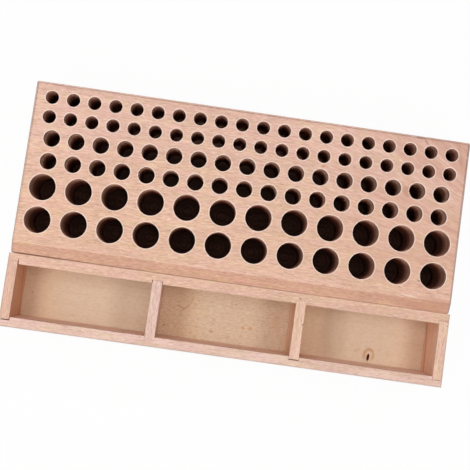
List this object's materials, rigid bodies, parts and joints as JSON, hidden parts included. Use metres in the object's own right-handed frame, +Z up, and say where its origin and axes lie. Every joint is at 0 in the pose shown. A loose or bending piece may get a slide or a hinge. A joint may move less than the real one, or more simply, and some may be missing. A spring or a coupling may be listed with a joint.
{
  "type": "tool holder block",
  "caption": "Beech block drilled with rows of holes that stand hand tools upright, on a base board, with a low compartment tray that pulls off its front.",
  "frame": {"origin": "on the table under the middle of the whole, block and tray together", "axes": "+X along the rows of holes to the right, -Y to the front where the tray is, +Z up"},
  "size_m": [0.27, 0.15, 0.045],
  "materials": {
    "block_beech": "sanded beech, bare or lightly oiled, fine dark flecks along the grain",
    "tray_beech": "sanded beech strip, grain along each piece",
    "floor_plywood": "thin plywood, pale face veneer with specks and a small knot",
    "dowel_beech": "plain turned beech dowel"
  },
  "bodies": {
    "holder": {"holder_block": "block_beech", "block_base": "block_beech", "tray_dowels": "dowel_beech"},
    "tray": {"tray_back_rail": "tray_beech", "tray_front_rail": "tray_beech", "tray_left_wall": "tray_beech", "tray_right_wall": "tray_beech", "tray_left_divider": "tray_beech", "tray_right_divider": "tray_beech", "tray_floor": "floor_plywood"}
  },
  "joints": [
    {"name": "tray_pull", "type": "slide", "parent": "holder", "child": "tray", "axis": [0, -1, 0], "range_m": [0, 0.06]}
  ]
}
